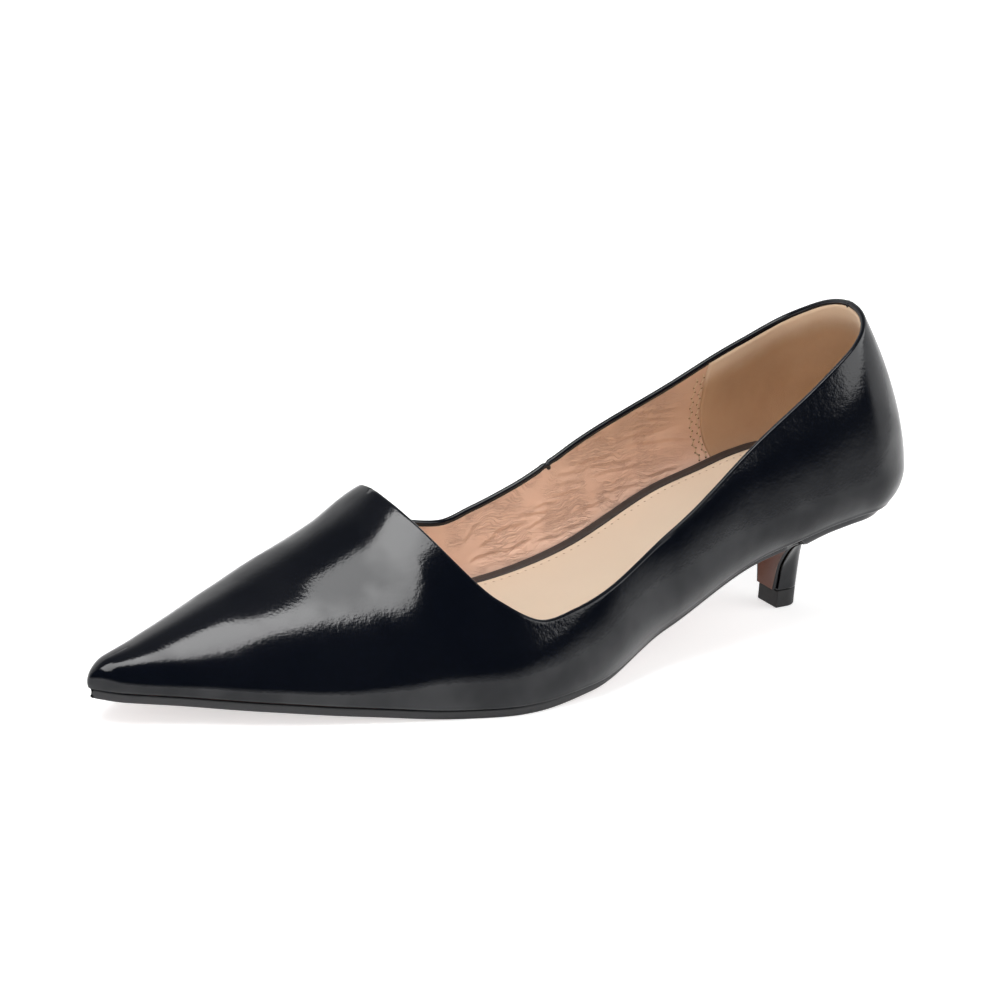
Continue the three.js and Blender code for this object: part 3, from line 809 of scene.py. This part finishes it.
def plate_side(set_in, toe_gap, inwards, up):
    """One side's line round a plate, at a distance in from its edge and a height over the sole
    line. Under the vamp it leans in with its height."""
    at, ends = plate_stations(set_in + inwards, length - toe_gap - inwards)
    seat, under = at + forward(at), tuck_at(up)
    lean = rim_lean + (vamp_lean - rim_lean) * ease((at - vamp_from) / (vamp_to - vamp_from))
    across = half_at(seat) + ball_width * tuck_share(at) * (1 - under) - set_in - inwards - lean * up
    return centre_at(seat), across * ends, heel_set_back - at - forward(at) * under, sole_line(seat) + up


def closed(rings):
    """Rings that end with their first point again."""
    return np.concatenate((rings, rings[:, :1]), 1)


def plate(set_in, toe_gap, profile, bridges, crown=0.0):
    """Closed plate: lines round it through a profile of (in from the edge, up), then straight across
    to the other side over the top and back under the bottom. A crown lifts the middle of the top.
    With it goes each point's distance in from the edge, far off on the straights across."""
    lines = [plate_side(set_in, toe_gap, inwards, up) for inwards, up in profile]
    right = np.stack([np.stack((middle + x, y, z), -1) for middle, x, y, z in lines], 1)
    left = np.stack([np.stack((middle - x, y, z), -1) for middle, x, y, z in lines], 1)
    t = np.linspace(0, 1, bridges + 2)[None, 1:-1, None]
    over = right[:, -1:] * (1 - t) + left[:, -1:] * t
    over = over + np.array([0, 0, 1.0]) * (crown * (1 - (2 * t - 1) ** 4))
    under = left[:, :1] * (1 - t) + right[:, :1] * t
    ring = closed(np.concatenate((right, over, left[:, ::-1], under), 1))
    inward = np.array([inwards for inwards, _ in profile])
    far_in = np.full(bridges, 99.0)
    edge = np.concatenate((inward, far_in, inward[::-1], far_in, inward[:1]))
    return ring, np.repeat(edge[None], len(ring), 0)


rim_inner = board_thickness + fit_gap + sock_thickness
rim_outer = rim_inner + rim_slope
board_profile = ((1.2, 0), (.35, .2), (0, .7), (0, rim_outer - .9), (.12, rim_outer - .45),
                 (.45, rim_outer - .12), (.9, rim_outer - .06),
                 *[(rim_width * share, rim_inner + rim_slope * rise)
                   for share, rise in ((.4, .72), (.6, .45), (.8, .18))],
                 (rim_width - .4, rim_inner + .06), (rim_width - .12, rim_inner - .08),
                 (rim_width, rim_inner - .35), (rim_width, board_thickness))
insole = grid_mesh("insole_board", plate(wall_gap, board_toe_gap, board_profile, 5)[0])


def dark_leather():
    material, tree, shader, here = new_material("dark_brown_leather")
    grain = noise(tree, here, .7, 3, .6)
    blotch = noise(tree, here, 16, 2, .5)
    colour = blend(tree, blotch, (.030, .024, .022), (.044, .036, .033))
    fill(shader, Base_Color=colour, Roughness=.5, Normal=bumped(tree, grain, .07, .6),
          Specular_IOR_Level=.4)
    return material


insole.data.materials.append(dark_leather())
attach(insole, "root")
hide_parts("insole")

# Sock: padded footbed of beige leather over thin foam, laid in the board. A line of pinholes runs
# round it a little inside its edge.
sock_set_in = wall_gap + rim_width + fit_gap
sock_toe_gap = board_toe_gap + rim_width + fit_gap
sock_low = board_thickness + fit_gap
sock_top = sock_low + sock_thickness
sock_crown = .5
hole_inset, hole_pitch = 2.5, 2.6
# in from the sock's edge and up from its top; a dip runs along the line of pinholes
sock_dip = ((0, -.6), (.1, -.28), (.35, -.06), (.8, .03), (1.4, .08), (1.9, .08), (2.3, .03),
            (hole_inset, 0), (2.7, .03), (3.2, .1), (4, .16), (5.5, .2))
sock_profile = ((.2, sock_low), (0, sock_low + .3),
                *[(inwards, sock_top + up) for inwards, up in sock_dip])
sock_ring, sock_edge = plate(sock_set_in, sock_toe_gap, sock_profile, 16, sock_crown)
hole_line = sock_ring[:, sock_profile.index((hole_inset, sock_top))]
hole_run = np.concatenate(([0], np.cumsum(np.linalg.norm(np.diff(hole_line, axis=0), axis=1))))
sock_uv = np.stack((np.repeat(hole_run[:, None], sock_ring.shape[1], 1), sock_edge), -1)
sock = grid_mesh("sock", sock_ring, sock_uv)


def footbed():
    """Beige leather. A pinhole comes once in each pitch along the line of holes: the mask is the
    distance from the nearest one, by its parts along the line and across it. Each pinhole is dented
    and painted dark, as painted shade in the hole."""
    material, tree, shader, here = new_material("beige_sock_leather")
    run, off = parts_of(tree, surface_place(tree))[:2]
    run = maths(tree, "SUBTRACT", maths(tree, "FRACT", maths(tree, "DIVIDE", run, hole_pitch)), .5)
    run = times(tree, run, hole_pitch)
    off = maths(tree, "SUBTRACT", off, hole_inset)
    apart = maths(tree, "SQRT", times(tree, run, run, times(tree, off, off)))
    pinhole_and_shade = smooth_between(tree, apart, .42, .16)
    grain = noise(tree, here, .6, 3, .6)
    blotch = noise(tree, here, 22, 3, .5)
    colour = blend(tree, blotch, (.655, .525, .40), (.70, .575, .445))
    # Painted shade: each pinhole is darkened, as the shade inside it.
    colour = tinted(tree, colour, pinhole_and_shade, .8, (.30, .19, .11))
    height = times(tree, grain, .10, times(tree, pinhole_and_shade, -.8))
    fill(shader, Base_Color=colour, Roughness=.62, Normal=bumped(tree, height, .35, .6),
          Specular_IOR_Level=.35)
    return material


sock.data.materials.append(footbed())
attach(sock, "root")
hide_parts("sock")

# Heel: moulded plastic core covered in the same patent leather, flared up to the seat and hollowed
# in front, where the end of the sole is glued on.
lift_width, lift_front, lift_back = 9.2, 5.0, 4.0
lift_height, lift_straight = 5.5, -1.0
seat_length, seat_set_in = 46.0, .5
heel_hollow = 2.2
heel_foot = lift_height + fit_gap
straight_share = .4              # share of the lift's half outline that is straight
# share of the heel's height; how far width, front and back have gone from the lift to the seat
flare = ((0, 0, 0, 0), (.3, .05, .01, .01), (.5, .17, .05, .02), (.65, .34, .16, .08),
         (.8, .64, .42, .38), (.88, .87, .65, .75), (.94, .98, .86, .97), (1, 1, 1, 1))
flare_width, flare_front, flare_back = [through(flare, column, 1.0) for column in (1, 2, 3)]


def lift_outline(t):
    """Half outline of the top lift, from its front corner straight back, then a quarter round."""
    turn = np.clip((t - straight_share) / (1 - straight_share), 0, 1) * math.pi / 2
    straight = -lift_front + (lift_straight + lift_front) * t / straight_share
    bent = lift_straight + (lift_back - lift_straight) * np.sin(turn)
    return lift_width / 2 * np.cos(turn), np.where(t < straight_share, straight, bent)


def heel_point(t, side, height):
    """Side of the heel: from the lift's outline at its foot to the seat's, by the flare."""
    lift_x, lift_y = lift_outline(t)
    first = back_tuck + seat_set_in
    at = first + (seat_length - first) * (1 - np.sin(t * math.pi / 2))
    half = (half_at(at) - seat_set_in) * quarter_round((at - first) / (heel_round - first))
    top = sole_line(at) - fit_gap
    way = flare_front(height) * (1 - t) + flare_back(height) * t
    out = flare_width(height) * (1 - t) + flare_back(height) * t
    x = centre_at(at) * way + side * (lift_x * (1 - out) + half * out)
    y = lift_y * (1 - way) + (heel_set_back - at) * way
    return np.stack(np.broadcast_arrays(x, y, heel_foot + (top - heel_foot) * height), -1)


def softened(rings, span):
    """Rounds the corners of closed rings of evenly spaced points by a running weighted mean."""
    reach = np.arange(-12, 13)
    weights = np.exp(-(reach / span) ** 2)
    return sum(np.roll(rings, int(k), 1) * w for k, w in zip(reach, weights)) / weights.sum()


def even_rings(rings, count):
    """Points at equal distances round each closed ring."""
    whole = closed(rings)
    run = np.concatenate((np.zeros((len(rings), 1)),
                          np.cumsum(np.linalg.norm(np.diff(whole, axis=1), axis=2), 1)), 1)
    wanted = np.linspace(0, 1, count + 1)[:-1]
    return np.stack([np.stack([np.interp(wanted * r[-1], r, c[:, k]) for k in range(3)], -1)
                     for r, c in zip(run, whole)])


heights = 1 - (1 - np.linspace(0, 1, 90)) ** 1.3
ts = np.linspace(0, 1, 70)
h, t = np.meshgrid(heights, ts, indexing="ij")
outer_side, inner_side = heel_point(t, 1, h), heel_point(t[:, ::-1], -1, h[:, ::-1])[:, 1:]
s = np.linspace(0, 1, 30)[None, 1:-1, None]
front = inner_side[:, -1:] * (1 - s) + outer_side[:, :1] * s
dip = heel_hollow * np.sin(math.pi * heights)[:, None, None] * (1 - (2 * s - 1) ** 2)
front = front + np.array([0, 1.0, 0]) * dip
heel_rings = softened(even_rings(np.concatenate((outer_side, inner_side, front), 1), 360), 1.6)


def capped(rings):
    """Closes stacked rings with a fan: each end ring is drawn together on its own middle."""
    first, last = rings[:1].mean(1, keepdims=True), rings[-1:].mean(1, keepdims=True)
    shrink = np.array([1, .97, .6, 0])[:, None, None]
    foot = first + (rings[:1] - first) * shrink[::-1]
    head = last + (rings[-1:] - last) * shrink
    return np.concatenate((foot, rings[1:-1], head), 0)


heel = grid_mesh("heel_cover", closed(capped(heel_rings)))
heel.data.materials.append(patent("black_patent_heel", .8, .25))
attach(heel, "root")
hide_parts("heel")

# Top lift: black rubber top piece, nailed under the heel, flat in front and round behind.
lift_ts = np.linspace(0, 1, 60)
lx, ly = lift_outline(lift_ts)
lift_side = np.concatenate((np.stack((lx, ly), -1), np.stack((-lx, ly), -1)[::-1][1:]))
lift_front_line = np.linspace(lift_side[-1], lift_side[0], 20)[1:-1]
lift_ring = np.concatenate((lift_side, lift_front_line))
# height of the ring and how far it is set in
lift_levels = ((0, .35), (.12, .12), (.35, 0), (2.6, .03), (5.1, 0), (5.4, .1), (5.5, .3))
lift_hub = np.array([0, (lift_back - lift_front) / 2])
lift_rings = []
for level, set_in in lift_levels:
    scale = np.array([1 - 2 * set_in / lift_width, 1 - 2 * set_in / (lift_front + lift_back)])
    lift_rings.append(np.concatenate((lift_hub + (lift_ring - lift_hub) * scale,
                                      np.full((len(lift_ring), 1), level)), 1))
lift_rings = softened(even_rings(np.stack(lift_rings), 200), 1.4)
top_lift = grid_mesh("top_piece", closed(capped(lift_rings)))


def rubber():
    material, tree, shader, here = new_material("black_rubber")
    grain = noise(tree, here, .5, 3, .6)
    scuff = noise(tree, here, 3, 3, .7)
    colour = blend(tree, scuff, (.008, .008, .009), (.016, .016, .017))
    rough = times(tree, scuff, .2, .45)
    fill(shader, Base_Color=colour, Roughness=rough, Normal=bumped(tree, grain, .06, .5))
    return material


top_lift.data.materials.append(rubber())
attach(top_lift, "root")
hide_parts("top_lift")

# Outsole: thin leather-like rubber, black on its edge and brown below, cemented from the toe over
# the waist and turned down the hollow front of the heel.
sole_thickness, waist_thickness = 2.6, 1.6
waist_from, waist_to = 105.0, 146.0
sole_set_in = 1.0
flap_thickness, flap_set_in, flap_fillet = 1.2, .6, 3.5
sole_tip = length - sole_set_in
waist_end = seat_length + fit_gap + flap_thickness + flap_fillet


def sole_station(at):
    """Middle, half width, hollow, and place and height of the top and of the underside, at distances
    along the shoe."""
    half = (half_at(at) - sole_set_in) * quarter_round((sole_tip - at) / toe_round)
    top = sole_line(at) - fit_gap
    thick = waist_thickness + (sole_thickness - waist_thickness) * ease(
        (at - waist_from) / (waist_to - waist_from))
    y = heel_set_back - at
    return np.stack((centre_at(at), half, np.zeros_like(at), y, top, y, top - thick), -1)


def flap_station(height):
    """The same for the sole's end, on the heel's front."""
    corner = heel_point(np.zeros_like(height), 1, height)
    middle = centre_at(seat_length) * flare_front(height)
    half = corner[:, 0] - middle - flap_set_in
    glued = corner[:, 1] - fit_gap
    return np.stack((middle, half, heel_hollow * np.sin(math.pi * height), glued, corner[:, 2],
                     glued - flap_thickness, corner[:, 2]), -1)


seat_front = sole_line(np.array(seat_length)) - fit_gap
turn_end = 1 - (waist_thickness + flap_fillet) / (seat_front - heel_foot)
into, out_of = sole_station(np.array([waist_end])), flap_station(np.array([turn_end]))
corner = flap_station(np.array([1.0]))
bend = np.linspace(0, 1, 16)[1:, None]
turned = into * (1 - bend) + out_of * bend
half_way = np.clip(bend * 2, 0, 1)
attached_in = into[:, 3:5] * (1 - half_way) + corner[:, 3:5] * half_way
beyond = flap_station(1 + (turn_end - 1) * np.clip(bend[:, 0] * 2 - 1, 0, 1))[:, 3:5]
turned[:, 3:5] = np.where(bend < .5, attached_in, beyond)
angle = bend[:, 0] * math.pi / 2
turned[:, 5] = into[0, 5] + (out_of[0, 5] - into[0, 5]) * np.sin(angle)
turned[:, 6] = into[0, 6] + (out_of[0, 6] - into[0, 6]) * (1 - np.cos(angle))
flap_foot = turn_end * .01
sole_at = np.concatenate((sole_tip - toe_round * (1 - np.cos(np.linspace(0, math.pi / 2, 22))),
                          np.linspace(sole_tip - toe_round, waist_end, 190)[1:]))
sole_rows = np.concatenate((sole_station(sole_at), turned,
                            flap_station(np.linspace(turn_end, flap_foot, 34))[1:]))
# distance in from the side and share of the thickness, round the softened edge
sole_edge = ((1.0, 0), (.25, 0), (.05, .06), (0, .2), (0, .8), (.08, .93), (.3, 1), (1.0, 1))


def sole_rings(rows):
    """Rings round the sole: over the glued face, round one edge, over the worn face, round the
    other. Set-ins are in millimetres; the depth runs from the glued to the visible face."""
    middle, half, hollow = [rows[:, None, k] for k in range(3)]
    flat = np.linspace(1, -1, 25)[None, 1:-1]
    inset = np.array([e[0] for e in sole_edge])[None]
    deep = np.array([e[1] for e in sole_edge])[None]
    side = np.maximum(half - inset, half * .3)
    across = np.concatenate((side, (half - 1) * flat, -side[:, ::-1], (half - 1) * -flat), 1)
    depth = np.concatenate((deep, np.ones_like(flat), deep[:, ::-1], np.zeros_like(flat)), 1)
    depth = np.repeat(depth, len(rows), 0)
    share = across / np.maximum(half, 1e-6)
    y = rows[:, None, 3] * (1 - depth) + rows[:, None, 5] * depth + hollow * (1 - share ** 2)
    z = rows[:, None, 4] * (1 - depth) + rows[:, None, 6] * depth
    ring = np.stack((middle + across, y, z), -1)
    edge = np.minimum(half - np.abs(across), 20)
    return ring, np.stack((edge, depth), -1)


sole_ring, sole_uv = sole_rings(sole_rows)
ends = sole_ring[[0, -1]].mean(1, keepdims=True)
sole_ring = closed(np.concatenate((np.repeat(ends[:1], sole_ring.shape[1], 1), sole_ring,
                                   np.repeat(ends[1:], sole_ring.shape[1], 1))))
sole_uv = closed(np.concatenate((sole_uv[:1] * [0, 1], sole_uv, sole_uv[-1:])))
outsole = grid_mesh("outsole_rubber", sole_ring, sole_uv, inside_out=True)


def sole_rubber():
    """Brown, with the black of the trimmed edge running a little over its border."""
    material, tree, shader, here = new_material("brown_sole_black_edge")
    wobble = times(tree, noise(tree, here, 2.5, 2, .6), .2, -.1)
    from_edge = maths(tree, "ADD", parts_of(tree, surface_place(tree))[0], wobble)
    edge = smooth_between(tree, from_edge, .5, .34)
    grain = noise(tree, here, .8, 3, .6)
    cloud = noise(tree, here, 12, 4, .6)
    brown = blend(tree, cloud, (.165, .070, .048), (.235, .105, .072))
    colour = blend(tree, edge, brown, (.012, .012, .014))
    rough = times(tree, edge, -.12, .5)
    fill(shader, Base_Color=colour, Roughness=rough, Normal=bumped(tree, grain, .05, .5))
    return material


outsole.data.materials.append(sole_rubber())
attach(outsole, "root")
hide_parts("outsole")

# Studio, in metres: a white table in a white room, a softbox hung overhead that the patent leather
# mirrors, another at the side, a dim fill in front, and dark curtains on the photographer's side and
# up to overhead. The camera looks down on the table.
def flat_sheet(name, corners):
    """One flat face through its corners."""
    mesh = bpy.data.meshes.new(name)
    mesh.from_pydata(corners, [], [tuple(range(len(corners)))])
    return placed(name, mesh)


def table(size, colour, glow):
    """White table. It glows a little for the camera, so that it fades into the white sweep, and in
    the leather's reflections."""
    made = flat_sheet("floor", [(-size, -size, 0), (size, -size, 0), (size, size, 0), (-size, size, 0)])
    material, tree, shader, here = new_material("white_table")
    ray = tree.nodes.new("ShaderNodeLightPath").outputs
    seen = times(tree, ray["Is Glossy Ray"], .7, ray["Is Camera Ray"])
    away = node(tree, "ShaderNodeVectorMath", {"operation": "LENGTH"}, in_0=here).outputs["Value"]
    far_glow = times(tree, smooth_between(tree, away, .25, .6), 1 - glow, glow)
    fill(shader, Base_Color=colour, Roughness=.9, Specular_IOR_Level=.2, Emission_Color=(1, 1, 1, 1),
          Emission_Strength=times(tree, far_glow, seen))
    made.data.materials.append(material)


def hanging_softbox(height, outline, glow):
    """Overhead softbox, a glowing sheet with slanted sides, a little dimmer towards its far side."""
    made = flat_sheet("overhead_softbox", [(x, y, height) for x, y in outline])
    made.visible_camera = False
    material, tree, shader, here = new_material("softbox_cloth")
    dim = smooth_between(tree, parts_of(tree, here)[0], .05, .4)
    fill(shader, Base_Color=(0, 0, 0, 1), Roughness=1.0, Specular_IOR_Level=0.0,
          Emission_Color=(1, 1, 1, 1), Emission_Strength=times(tree, dim, -.3 * glow, glow))
    made.data.materials.append(material)


def soft_light(name, place, target, size, power, mirrored=True):
    """Rectangular light turned to its target. One that isn't mirrored shows in no reflection."""
    data = bpy.data.lights.new(name, "AREA")
    data.shape, data.size, data.size_y, data.energy = "RECTANGLE", size[0], size[1], power
    made = placed(name, data)
    made.visible_glossy = mirrored
    made.location = place
    made.rotation_euler = (Vector(target) - Vector(place)).to_track_quat("-Z", "Y").to_euler()


table(3, (.82, .82, .82, 1), .58)
hanging_softbox(.70, ((.02, -.02), (-.02, -.15), (-.10, -.21), (-.115, -.30), (-.105, -.66), (.43, -.66),
                      (.38, -.45), (.29, -.30), (.215, -.20), (.17, -.10), (.16, -.02)), 7.2)
soft_light("side_softbox", (.70, 1.0, .80), (0, 0, .06), (1.4, .62), 6.6)
soft_light("front_fill", (1.0, -.7, .6), (0, -.05, .05), (1.0, .8), 5.5, mirrored=False)


def studio_walls():
    """Room light: a white sweep all round, but dark curtains from the photographer's side up to
    overhead. The camera itself sees plain white."""
    world = bpy.data.worlds.new("studio")
    bpy.context.scene.world = world
    world.use_nodes = True
    tree = world.node_tree
    x, y, height = parts_of(tree, tree.nodes.new("ShaderNodeTexCoord").outputs["Generated"])
    towards = times(tree, x, .82, times(tree, y, -.57))
    curtain = times(tree, smooth_between(tree, towards, -.15, .2),
                    smooth_between(tree, height, 0, .2))
    overhead = times(tree, smooth_between(tree, height, .5, .85), .85)
    curtain = maths(tree, "MAXIMUM", curtain, overhead)
    glow = times(tree, curtain, -.95, 1.0)
    seen = tree.nodes.new("ShaderNodeLightPath").outputs["Is Camera Ray"]
    sheet = tree.nodes["Background"]
    sheet.inputs["Color"].default_value = (1, 1, 1, 1)
    tree.links.new(maths(tree, "MAXIMUM", glow, seen), sheet.inputs["Strength"])


studio_walls()
bpy.context.scene.view_settings.view_transform = "Standard"

# Camera: where it stands and how it is tilted give the photograph's view of the shoe
target, distance = Vector((0, -.105, .035)), 1.01245
azimuth, elevation, tilt = math.radians(34.745), math.radians(20.639), math.radians(4.306)
aim_above, aim_right, focal_length = .01149, .00078, 129.06
back = Vector((math.cos(azimuth) * math.cos(elevation), -math.sin(azimuth) * math.cos(elevation),
               math.sin(elevation)))
place = target + back * distance
right = (-back).cross(Vector((0, 0, 1))).normalized()
above = right.cross(-back)
right_rolled = right * math.cos(tilt) + above * math.sin(tilt)
above_rolled = above * math.cos(tilt) - right * math.sin(tilt)
aim = target + above_rolled * aim_above + right_rolled * aim_right
view_back = (place - aim).normalized()
side = (right_rolled - view_back * right_rolled.dot(view_back)).normalized()
top = view_back.cross(side)
lens = bpy.data.cameras.new("camera")
lens.lens, lens.sensor_width, lens.clip_start, lens.clip_end = focal_length, 36, .05, 20
camera = placed("camera", lens)
camera.matrix_world = Matrix.Translation(place) @ Matrix((side, top, view_back)).transposed().to_4x4()
bpy.context.scene.camera = camera
